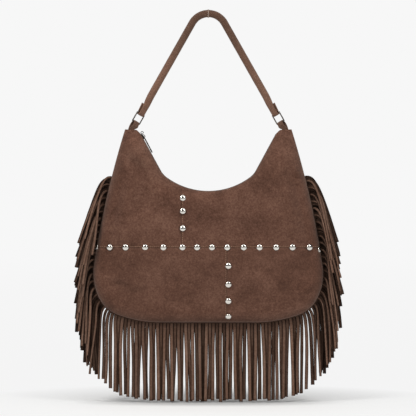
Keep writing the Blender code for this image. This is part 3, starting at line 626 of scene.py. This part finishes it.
def strip_rings(habit):
    """Rings of points down one strip, which bends over from the seam, then hangs, and their tones, with
    painted shade at the strip's top and along its edges.
    """
    step = habit.length / STRIP_ROWS / STRIP_STEPS
    thick = STRIP_THICKNESS / 2
    point, travelled = habit.start, 0.0
    rings, tones = [], []
    for row in range(STRIP_ROWS + 1):
        for _ in range(STRIP_STEPS if row else 0):
            travelled += step
            point = point + strip_directions(habit, travelled)[0] * step
        along, square = strip_directions(habit, travelled)
        share = travelled / habit.length
        twist = mix(habit.bottom_twist * smooth(share / BOTTOM_TWIST_END),
                    habit.side_twist * smooth(travelled / SIDE_TWIST_LENGTH), habit.sideways)
        twist += CURL * math.sin(habit.phase + CURL_TURN * share) * smooth(share / CURL_START)
        across = square * math.cos(twist) + along.cross(square) * math.sin(twist)
        face = across.cross(along)
        aside = habit.gather * share ** GATHER_POWER \
            + habit.sway * math.sin(habit.phase + SWAY_TURN * share) * smooth(share / SWAY_START)
        middle = point + Vector((aside, habit.layer * smooth(travelled / LANE_LENGTH), 0.0))
        whole = mix(UNCUT_WIDTH, habit.width, smooth((travelled - habit.slit) / SLIT_END))
        half = mix(whole, habit.width, habit.sideways) / 2 \
            * (1.0 + UNEVEN_WIDTH * noise.noise(Vector((habit.index * 3.1, share * 9.0, 0.0))))
        # painted shade near the strip's top
        shade = habit.tone * mix(TOP_SHADE, 1.0, smooth(share / TOP_SHADE_REACH))
        ring = []
        for a, b in STRIP_SECTION:
            ring.append(middle + across * (half * a) + face * (thick * b + CUP * thick * a * a))
            # painted shade on the edges, painted light on the face
            tones.append(shade * (EDGE_SHADE if abs(a) == 1.0 else FACE_LIGHT))
        rings.append(ring)
    return rings, tones


def gathered(count):
    """Sideways pull at each strip's tip, towards the middle of the small group it hangs in."""
    chance = random.Random(GATHER_SEED)
    pulls = []
    while len(pulls) < count:
        size = chance.choice(GROUP_SIZES)
        tug = chance.uniform(*GROUP_TUG)
        shift = chance.uniform(-GROUP_SHIFT, GROUP_SHIFT)
        pulls += [((size - 1) / 2 - i) * STRIP_PITCH * tug + shift for i in range(size)]
    return pulls[:count]


GATHER = gathered(STRIP_COUNT)


def add_fringe():
    habits = [strip_habit(index) for index in range(STRIP_COUNT)]
    # fillers: extra inner strips, dark with painted shade, between the side strips
    for index in range(STRIP_COUNT - 1):
        if OUTLINE.at((index + 0.5 - (STRIP_COUNT - 1) / 2) * STRIP_PITCH)[1] > CORNER_START + CORNER_TURN:
            habits.append(strip_habit(index, shade_filler=True))
    hanging = [strip_rings(habit) for habit in habits]
    mesh = loft_mesh("fringe_suede", [rings for rings, _ in hanging])
    set_tone_and_painted_light(mesh, [tone for _, tones in hanging for tone in tones])
    strips = add_object("fringe_suede", mesh, FRINGE_SUEDE, "bag")

    reach = (STRIP_COUNT - 1) / 2 * STRIP_PITCH + STRIP_WIDTH / 2
    lines = []
    for i in range(HEADER_LINES + 1):
        distance = mix(-reach, reach, i / HEADER_LINES)
        start, outward = OUTLINE.at(distance)[0], OUTLINE.outward(distance)
        header = HEADER * smooth((reach - abs(distance)) / HEADER_TAPER)
        lines.append([start + outward * mix(-HEADER_INSIDE, header, j / HEADER_ROWS)
                      for j in range(HEADER_ROWS + 1)])
    mesh = grid_mesh("fringe_header", lines)
    set_tone_and_painted_light(mesh, [HEADER_SHADE] * len(mesh.vertices))
    header = add_object("fringe_header", mesh, FRINGE_SUEDE, "bag")
    solid = header.modifiers.new("Thickness", "SOLIDIFY")
    solid.thickness = STRIP_THICKNESS
    solid.offset = 0.0
    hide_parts("fringe")


# Studs and stitches


def flat_base(piece):
    """Middle of a stud's flat base, and the direction its dome points in."""
    faces = piece.data.polygons
    base = max(([other for other in faces if other.normal.dot(face.normal) > 0.9995] for face in faces),
               key=lambda group: sum(face.area for face in group))
    corners = {tuple(round(c, 6) for c in piece.data.vertices[i].co) for face in base for i in face.vertices}
    middle = sum((Vector(corner) for corner in corners), Vector()) / len(corners)
    return piece.matrix_world @ middle, -(piece.matrix_world.to_3x3() @ base[0].normal).normalized()


def stud_mesh():
    profile = [(STUD_RADIUS * 0.97, -STUD_SUNK), (STUD_RADIUS, 0.0)]
    for i in range(1, STUD_ROWS):
        angle = math.pi / 2 * i / STUD_ROWS
        profile.append((STUD_RADIUS * math.cos(angle), STUD_HEIGHT * math.sin(angle) ** 0.9))
    profile.append((STUD_TOP, STUD_HEIGHT))
    turns = [math.tau * i / STUD_SIDES for i in range(STUD_SIDES)]
    rings = [[Vector((r * math.cos(t), r * math.sin(t), z)) for t in turns] for r, z in profile]
    return loft_mesh("stud_dome", [rings])


def add_studs():
    mesh = stud_mesh()
    for name in sorted(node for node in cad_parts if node.startswith("stud_")):
        seat, normal = flat_base(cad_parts[name])
        seat.z -= STUD_DROP
        turn = Vector((0.0, 0.0, 1.0)).rotation_difference(normal).to_matrix().to_4x4()
        stud = add_object(name + "_dome", mesh, NICKEL, "bag", Matrix.Translation(seat) @ turn)
        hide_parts(name)


def stitch_rings(start, end):
    along = (end - start).normalized()
    side = along.cross(FRONT).normalized()
    face = side.cross(along)
    rings = []
    for share, size in ((0.0, 0.35), (0.15, 0.9), (0.5, 1.05), (0.85, 0.9), (1.0, 0.35)):
        middle = start.lerp(end, share) + FRONT * (STITCH_LIFT * math.sin(math.pi * share))
        rings.append(oval(middle, side, face, STITCH_RADIUS * size, STITCH_RADIUS * size, 6))
    return rings


def add_stitches(panels):
    graph = bpy.context.evaluated_depsgraph_get()
    trees = [BVHTree.FromObject(panel, graph) for panel in panels]

    def on_leather(x, z):
        hits = [tree.ray_cast(Vector((x, -0.1, z)), Vector((0.0, 1.0, 0.0))) for tree in trees]
        hits = [hit for hit in hits if hit[0] is not None]
        return min(hits, key=lambda hit: hit[3])[0] if hits else None

    lofts = []
    for start, end in STITCH_ROWS:
        count = int(math.dist(start, end) / STITCH_PITCH)
        for i in range(count):
            ends = [on_leather(mix(start[0], end[0], share), mix(start[1], end[1], share))
                    for share in (i / count, (i + STITCH_SHARE) / count)]
            if None not in ends:
                lofts.append(stitch_rings(*ends))
    add_object("seam_stitches", loft_mesh("seam_stitches", lofts), THREAD, "bag")


# Strap, rings and tabs

STRAP_RADIUS = 0.0061
CROWN_RADIUS = 0.0308           # to the middle of the strap
ARM_TILT = math.radians(29.5)
ARM_LENGTH = 0.1726             # from the end of the crown's arc to the ring's upper bar
FLATTEN_START = 0.034           # above the bar, where the roll starts to flatten
FLATTEN_END = 0.007
LOOP_LEATHER = 0.0021
LOOP_WIDTH = 0.0112
FLAP_LENGTH = 0.016
BAR_SKEW = math.radians(36.0)   # the rings' bars turn their outer ends to the front
WIRE_RADIUS = 0.0011
RING_WIDTH = 0.0155             # between the middles of its side wires
RING_HEIGHT = 0.0195
RING_CORNER = 0.0026
WIRE_PLAY = 0.0009              # between a ring's wire and the leather loop round it
LOOP_RADIUS = WIRE_RADIUS + WIRE_PLAY + LOOP_LEATHER / 2
TAB_SPLIT = 0.00012             # half the gap between the tab's two legs
TAB_WIDTH_IN_PEAK = 0.0102
TAB_DEPTH_IN_PEAK = 0.011
TAB_HOLLOW = 0.0062             # between the legs at the tab's widest, under the bar
TAB_HOLLOW_DROP = 0.0045        # from the bar to there
LOOP_SWELL = 0.0008
STRAP_WORN, TAB_WORN = 0.0001, 0.0002
CROWN_TONE = 0.82
# the left arm is lighter than the right with painted light, on the key lamp's side
ARM_TONES_AND_LIGHT = {"left": 1.50, "right": 1.34}
TONE_START, TONE_RUN = 0.03, 0.07   # down from the crown, where the strap gets lighter
CROWN_STITCHES = 18
CROWN_STITCH_LENGTH, CROWN_STITCH_RADIUS = 0.0034, 0.0003
CROWN_STITCH_TURN = 0.22        # how far a stitch goes round the strap, in radians
CROWN_STITCH_LIFT = 0.0005
STRAP_SIDES, TAB_SIDES = 24, 20
STRAP_SQUARENESS, TAB_SQUARENESS = 0.6, 0.5     # of the flat sections: 1 is an ellipse
CROWN_STEPS, ARM_STEPS, FLATTEN_STEPS, LOOP_STEPS, FLAP_STEPS = 16, 40, 14, 16, 8
TAB_LOOP_STEPS = 14

ARM = Vector((math.sin(ARM_TILT), 0.0, -math.cos(ARM_TILT)))
ACROSS_ARM = Vector((math.cos(ARM_TILT), 0.0, math.sin(ARM_TILT)))
BAR = ACROSS_ARM * math.cos(BAR_SKEW) + FRONT * math.sin(BAR_SKEW)
BAR_FACE = ARM.cross(BAR)
CROWN_CENTRE = Vector((0.0, 0.0, STRAP_RADIUS - CROWN_RADIUS))
ARM_TOP = CROWN_CENTRE + ACROSS_ARM * CROWN_RADIUS
UPPER_BAR = ARM_TOP + ARM * ARM_LENGTH
LOWER_BAR = UPPER_BAR + ARM * RING_HEIGHT


def mirrored(rings, hand):
    return [[Vector((p.x * hand, p.y, p.z)) for p in ring] for ring in rings]


def strap_rings():
    """Rings down the right half: the rolled crown and arm, the flattened end, its loop and flap."""
    rings = []
    for i in range(CROWN_STEPS + 1):
        angle = (math.pi / 2 - ARM_TILT) * i / CROWN_STEPS
        out = Vector((math.sin(angle), 0.0, math.cos(angle)))
        centre = CROWN_CENTRE + out * CROWN_RADIUS
        if i == 0:
            centre.x += SEAM_GAP / 2
        rings.append(oval(centre, out, FRONT, STRAP_RADIUS, STRAP_RADIUS, STRAP_SIDES))
    round_length = ARM_LENGTH - FLATTEN_START
    for i in range(1, ARM_STEPS + 1):
        centre = ARM_TOP + ARM * (round_length * i / ARM_STEPS)
        rings.append(oval(centre, ACROSS_ARM, FRONT, STRAP_RADIUS, STRAP_RADIUS, STRAP_SIDES))
    for i in range(1, FLATTEN_STEPS + 1):
        share = i / FLATTEN_STEPS
        eased = smooth(share)
        centre = UPPER_BAR - ARM * mix(FLATTEN_START, FLATTEN_END, share) + BAR_FACE * (LOOP_RADIUS * eased)
        turn = BAR_SKEW * eased
        side = ACROSS_ARM * math.cos(turn) + FRONT * math.sin(turn)
        rings.append(oval(centre, side, ARM.cross(side), mix(STRAP_RADIUS, LOOP_WIDTH / 2, eased),
                          mix(STRAP_RADIUS, LOOP_LEATHER / 2, eased), STRAP_SIDES,
                          mix(1.0, STRAP_SQUARENESS, eased)))
    for i in range(LOOP_STEPS + 1):
        angle = math.pi * i / LOOP_STEPS
        out = BAR_FACE * math.cos(angle) + ARM * math.sin(angle)
        swell = LOOP_SWELL * math.sin(angle) ** 0.5 if 0 < i < LOOP_STEPS else 0.0
        rings.append(oval(UPPER_BAR + out * (LOOP_RADIUS + swell / 2), BAR, out, LOOP_WIDTH / 2 + swell / 2,
                          (LOOP_LEATHER + swell) / 2, STRAP_SIDES, STRAP_SQUARENESS))
    spread = LOOP_RADIUS + LOOP_LEATHER
    for i in range(1, FLAP_STEPS + 1):
        share = i / FLAP_STEPS
        centre = UPPER_BAR - ARM * (FLAP_LENGTH * share) - BAR_FACE * mix(LOOP_RADIUS, spread, share)
        rings.append(oval(centre, BAR, -BAR_FACE, LOOP_WIDTH / 2, LOOP_LEATHER / 2, STRAP_SIDES,
                          STRAP_SQUARENESS))
    return rings


def ring_rings():
    centre = (UPPER_BAR + LOWER_BAR) / 2
    path = []
    for corner in range(4):
        across, along = RING_WIDTH / 2 - RING_CORNER, RING_HEIGHT / 2 - RING_CORNER
        signs = ((1, 1), (-1, 1), (-1, -1), (1, -1))[corner]
        for i in range(9):
            angle = corner * math.pi / 2 + math.pi / 2 * i / 8
            out = BAR * math.cos(angle) + ARM * math.sin(angle)
            path.append((centre + BAR * (signs[0] * across) + ARM * (signs[1] * along)
                         + out * RING_CORNER, out))
    face = BAR.cross(ARM)
    return [oval(point, out, face, WIRE_RADIUS, WIRE_RADIUS, 12) for point, out in path]


def tab_rings():
    """Rings up a tab's front leg, over the ring's lower bar and down its back leg."""
    tip = (OUTLINE.at(OUTLINE.length)[0] + MOUTH.at(MOUTH.length)[0]) / 2
    peak_side = (OUTLINE.at(OUTLINE.length)[0] - MOUTH.at(MOUTH.length)[0]).normalized()
    down = Vector((0.0, 0.0, -1.0))
    thick = LOOP_LEATHER / 2

    def leg(front):
        aside = FRONT * ((TAB_SPLIT + LOOP_LEATHER / 2) * front)
        start = tip + down * TAB_DEPTH_IN_PEAK + aside
        top = tip + aside
        wide = LOWER_BAR + ARM * TAB_HOLLOW_DROP + BAR_FACE * (front * (TAB_HOLLOW + LOOP_LEATHER) / 2)
        rings = []
        for share in (0.0, 0.5, 1.0):
            rings.append(oval(start.lerp(top, share), peak_side, FRONT * front, TAB_WIDTH_IN_PEAK / 2,
                              thick, TAB_SIDES, TAB_SQUARENESS))
        for share in (0.2, 0.4, 0.6, 0.8, 1.0):
            eased = smooth(share)
            side = peak_side.lerp(BAR, eased).normalized()
            out = (FRONT * front).lerp(BAR_FACE * front, eased).normalized()
            rings.append(oval(top.lerp(wide, share), side, out, mix(TAB_WIDTH_IN_PEAK, LOOP_WIDTH, eased) / 2,
                              thick, TAB_SIDES, TAB_SQUARENESS))
        return rings

    rings = leg(1.0)
    for i in range(TAB_LOOP_STEPS + 1):
        angle = math.pi * i / TAB_LOOP_STEPS
        out = BAR_FACE * math.cos(angle) - ARM * math.sin(angle)
        rings.append(oval(LOWER_BAR + out * LOOP_RADIUS, BAR, out, LOOP_WIDTH / 2, thick, TAB_SIDES,
                          TAB_SQUARENESS))
    return rings + list(reversed(leg(-1.0)))


def worn(rings, seed, depth):
    """Small uneven swellings, as rolled leather has."""
    out = []
    for ring in rings:
        centre = sum(ring, Vector()) / len(ring)
        out.append([p + (p - centre).normalized() * depth * noise.noise(p * 70.0 + Vector((seed, 0, 0)))
                    for p in ring])
    return out


def add_suspension():
    for hand, word in ((-1.0, "left"), (1.0, "right")):
        strap = loft_mesh("strap_suede_" + word, [worn(mirrored(strap_rings(), hand), hand, STRAP_WORN)])
        set_tone_and_painted_light(strap, [mix(CROWN_TONE, ARM_TONES_AND_LIGHT[word], smooth((-vertex.co.z - TONE_START) / TONE_RUN))
                          for vertex in strap.vertices])
        piece = add_object("strap_suede_" + word, strap, STRAP_SUEDE, "strap")
        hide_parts("strap_" + word)
        ring = loft_mesh(word + "_ring_wire", [mirrored(ring_rings(), hand)], closed=True)
        piece = add_object(word + "_ring_wire", ring, WIRE_NICKEL, word + "_ring")
        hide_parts(word + "_ring")
        tab = loft_mesh(word + "_tab_suede", [worn(mirrored(tab_rings(), hand), hand + 4, TAB_WORN)])
        set_tone_and_painted_light(tab, [1.0] * len(tab.vertices))
        piece = add_object(word + "_tab_suede", tab, STRAP_SUEDE, "bag")
        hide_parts(word + "_tab")


def add_crown_seam():
    """Stitches over the joint of the strap's two halves."""
    lofts = []
    for i in range(CROWN_STITCHES):
        angle = math.tau * (i + 0.5) / CROWN_STITCHES
        out = Vector((0.0, math.cos(angle), math.sin(angle)))
        start = Vector((-CROWN_STITCH_LENGTH / 2, 0.0, 0.0)) + CROWN_CENTRE + Vector((0.0, 0.0, CROWN_RADIUS))
        ends = [start + out * STRAP_RADIUS, start + Vector((CROWN_STITCH_LENGTH, 0.0, 0.0))
                + Matrix.Rotation(CROWN_STITCH_TURN, 3, "X") @ out * STRAP_RADIUS]
        along = (ends[1] - ends[0]).normalized()
        side = along.cross(out).normalized()
        rings = [oval(ends[0].lerp(ends[1], share) + out * (CROWN_STITCH_LIFT * math.sin(math.pi * share)),
                      side, out, CROWN_STITCH_RADIUS * size, CROWN_STITCH_RADIUS * size, 6)
                 for share, size in ((0.0, 0.4), (0.2, 1.0), (0.5, 1.1), (0.8, 1.0), (1.0, 0.4))]
        lofts.append(rings)
    add_object("crown_stitches", loft_mesh("crown_stitches", lofts), THREAD, "strap")


# Zip

SLIDER_FROM_TIP = 0.0150
BRIDGE_HEIGHT = 0.0034
TAG_DIP = math.radians(1.0)
# The tag's outline: distance from the bridge, half width, half thickness
TAG_OUTLINE = ((0.0034, 0.0016, 0.0007), (0.0040, 0.0022, 0.00095), (0.0052, 0.0021, 0.0010),
               (0.0090, 0.0019, 0.00105), (0.0150, 0.0021, 0.0011), (0.0210, 0.0026, 0.0011),
               (0.0278, 0.0028, 0.0011), (0.0298, 0.0024, 0.00105), (0.0308, 0.0014, 0.0008))
EYE_X, EYE_RADIUS, EYE_WIRE = 0.0019, 0.0021, 0.0006
BAIL_PLACE = Vector((-0.0064, 0.0, 0.0039))
BAIL_RADIUS, BAIL_WIRE = 0.0020, 0.00062


def zip_place():
    """Matrix at the slider: X down the slope of the left peak, Z out of the mouth."""
    distance = -(MOUTH.length - SLIDER_FROM_TIP)
    out = -MOUTH.outward(distance)
    across = Vector((0.0, 1.0, 0.0))
    matrix = Matrix((across.cross(out), across, out)).transposed().to_4x4()
    matrix.translation = MOUTH.at(distance)[0]
    return matrix


def add_pull():
    """The cast tag: an eye round the slider's bridge, a narrow neck and a rounded end."""
    place = zip_place() @ Matrix.Translation((0.0, 0.0, BRIDGE_HEIGHT)) @ Matrix.Rotation(TAG_DIP, 4, "Y")
    side, face = Vector((0.0, 1.0, 0.0)), Vector((0.0, 0.0, 1.0))
    tag = [oval(Vector((x, 0.0, 0.0)), side, face, width, thick, 16, 0.8) for x, width, thick in TAG_OUTLINE]
    eye = []
    for i in range(25):
        angle = math.tau * i / 24
        out = Vector((math.cos(angle), math.sin(angle), 0.0))
        centre = Vector((EYE_X + EYE_RADIUS * math.cos(angle), EYE_RADIUS * math.sin(angle), 0.0))
        eye.append(oval(centre, out, face, EYE_WIRE, EYE_WIRE, 8))
    mesh = loft_mesh("zip_pull_cast", [tag, eye])
    piece = add_object("zip_pull_cast", mesh, WIRE_NICKEL, "zip_pull", place)
    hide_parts("zip_pull")


def add_bail():
    """The wire loop above the slider."""
    rings = []
    for i in range(28):
        angle = math.tau * i / 28
        out = Vector((math.cos(angle), 0.0, math.sin(angle)))
        centre = BAIL_PLACE + out * BAIL_RADIUS
        rings.append(oval(centre, out, Vector((0.0, 1.0, 0.0)), BAIL_WIRE, BAIL_WIRE, 10))
    add_object("zip_bail", loft_mesh("zip_bail", [rings], closed=True), WIRE_NICKEL, "zip_slider",
               zip_place())


def dress(name, material):
    """Shows a piece of the solids as it is, with its own material."""
    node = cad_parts[name]
    node.data.materials.clear()
    node.data.materials.append(material)


# Stage, light and camera

FLOOR_Z = -0.6425
FLOOR_HALF_SIZE = 12.0
PAINTED = (0.34, 0.26)          # half sizes of the ellipse that takes shadows: the rest glows evenly
PAINTED_SHADOW_SIZE = (0.175, 0.050)        # and of the darker one right under the fringe, a painted shadow
FLOOR_WHITE = colour(0.875, 0.88, 0.88)
# the floor's colour at the middle of the painted shadow, times the white
PAINTED_SHADOW_DEPTH = 0.63
NEAR_GLOW, FAR_GLOW, MIRRORED_FLOOR = 0.905, 0.93, 0.95
ROOM_SEEN, ROOM_MIRRORED, ROOM_LIGHT = 0.93, 0.12, 0.36
CENTRE = Vector((0.0, 0.0, -0.33))
# Name, place, size, power, colour, and whether the metal mirrors it
LIGHTS = (("key", (-1.25, -1.55, 1.15), (0.9, 0.9), 33.0, (1.0, 0.985, 0.96), True),
          ("fill", (1.25, -1.55, 1.05), (0.9, 0.9), 22.0, (1.0, 0.99, 0.97), True),
          ("top", (0.0, -0.3, 1.6), (1.6, 1.0), 10.0, (1.0, 1.0, 1.0), True),
          ("front", (0.0, -2.4, -0.75), (1.6, 1.0), 6.0, (1.0, 1.0, 1.0), False))
CAMERA_DISTANCE = 3.2
CAMERA_X, CAMERA_Z = -0.0005, -0.318
PICTURE_WIDTH = 0.6935          # at the bag
SENSOR_WIDTH = 36.0


def grey(value):
    return colour(value, value, value)


def from_middle(n, half_sizes):
    """Distance from the floor's middle, 1 on the ellipse of these half sizes."""
    scale = (1 / half_sizes[0], 1 / half_sizes[1], 0.0)
    scaled = n.add("VectorMath", {0: n.object_place(), 1: scale}, operation="MULTIPLY").outputs[0]
    return n.add("VectorMath", {0: scaled}, operation="LENGTH").outputs["Value"]


def floor_material():
    """White paint near the bag, which takes its shadow and has a painted shadow under the fringe, fading into
    an even glow.
    """
    n = Nodes("floor_white")
    away = n.add("VectorMath", {0: n.object_place()}, operation="LENGTH").outputs["Value"]
    near = n.ramp(from_middle(n, PAINTED), 0.5, 1.3, 1.0, 0.0)
    # painted shadow under the fringe
    shadow_paint = n.ramp(from_middle(n, PAINTED_SHADOW_SIZE), 0.5, 1.3, PAINTED_SHADOW_DEPTH, 1.0)
    shadowed_white = n.blend(shadow_paint, colour(0.0, 0.0, 0.0), FLOOR_WHITE)
    paint = n.add("BsdfDiffuse", {"Color": shadowed_white}).outputs[0]
    mirror = n.add("LightPath").outputs["Is Glossy Ray"]
    far = n.blend(n.ramp(away, 0.5, 9.0), grey(NEAR_GLOW), grey(FAR_GLOW))
    shown = n.blend(mirror, far, grey(MIRRORED_FLOOR))
    glow = n.add("Emission", {"Color": shown, "Strength": 1.0}).outputs[0]
    both = n.add("MixShader", {0: near, 1: glow, 2: paint}).outputs[0]
    n.tree.links.new(both, n.tree.nodes["Material Output"].inputs["Surface"])
    return n.material


def add_floor():
    mesh = bpy.data.meshes.new("floor")
    size = FLOOR_HALF_SIZE
    mesh.from_pydata([(-size, -size, FLOOR_Z), (size, -size, FLOOR_Z), (size, size, FLOOR_Z),
                      (-size, size, FLOOR_Z)], [], [(0, 1, 2, 3)])
    mesh.materials.append(floor_material())
    floor = bpy.data.objects.new("floor", mesh)
    bpy.context.scene.collection.objects.link(floor)


def add_world():
    """A room that is pale to the camera, dark in the metal, and lights everything a little."""
    world = bpy.data.worlds.new("studio")
    bpy.context.scene.world = world
    world.use_nodes = True
    tree = world.node_tree
    rays = tree.nodes.new("ShaderNodeLightPath")
    room = tree.nodes.new("ShaderNodeMix")
    room.data_type = "RGBA"
    room.inputs[6].default_value = grey(ROOM_LIGHT)
    room.inputs[7].default_value = grey(ROOM_MIRRORED)
    tree.links.new(rays.outputs["Is Glossy Ray"], room.inputs["Factor"])
    seen = tree.nodes.new("ShaderNodeMix")
    seen.data_type = "RGBA"
    seen.inputs[7].default_value = grey(ROOM_SEEN)
    tree.links.new(rays.outputs["Is Camera Ray"], seen.inputs["Factor"])
    tree.links.new(room.outputs[2], seen.inputs[6])
    tree.links.new(seen.outputs[2], tree.nodes["Background"].inputs["Color"])


def add_light(name, place, size, power, tint, mirrored_in_metal):
    lamp = bpy.data.lights.new(name, "AREA")
    lamp.shape = "RECTANGLE"
    lamp.size, lamp.size_y = size
    lamp.energy = power
    lamp.color = tint
    holder = bpy.data.objects.new(name, lamp)
    holder.location = place
    holder.rotation_euler = (CENTRE - Vector(place)).to_track_quat("-Z", "Y").to_euler()
    holder.visible_glossy = mirrored_in_metal
    bpy.context.scene.collection.objects.link(holder)


def add_camera():
    lens = bpy.data.cameras.new("camera")
    camera = bpy.data.objects.new("camera", lens)
    bpy.context.scene.collection.objects.link(camera)
    camera.location = (CAMERA_X, -CAMERA_DISTANCE, CAMERA_Z)
    camera.rotation_euler = (math.pi / 2, 0.0, 0.0)
    lens.sensor_width = SENSOR_WIDTH
    lens.lens = SENSOR_WIDTH * CAMERA_DISTANCE / PICTURE_WIDTH
    lens.clip_end = 100.0
    bpy.context.scene.camera = camera


front_panels = add_panels()
add_fringe()
add_studs()
add_stitches(front_panels)
add_suspension()
dress("zip_teeth", DARK_NICKEL)
dress("zip_slider", WIRE_NICKEL)
add_pull()
add_bail()
add_crown_seam()
dress("zip_tape_front", TAPE_CLOTH)
dress("zip_tape_back", TAPE_CLOTH)
add_floor()
add_world()
for light in LIGHTS:
    add_light(*light)
add_camera()
bpy.context.scene.view_settings.view_transform = "Standard"
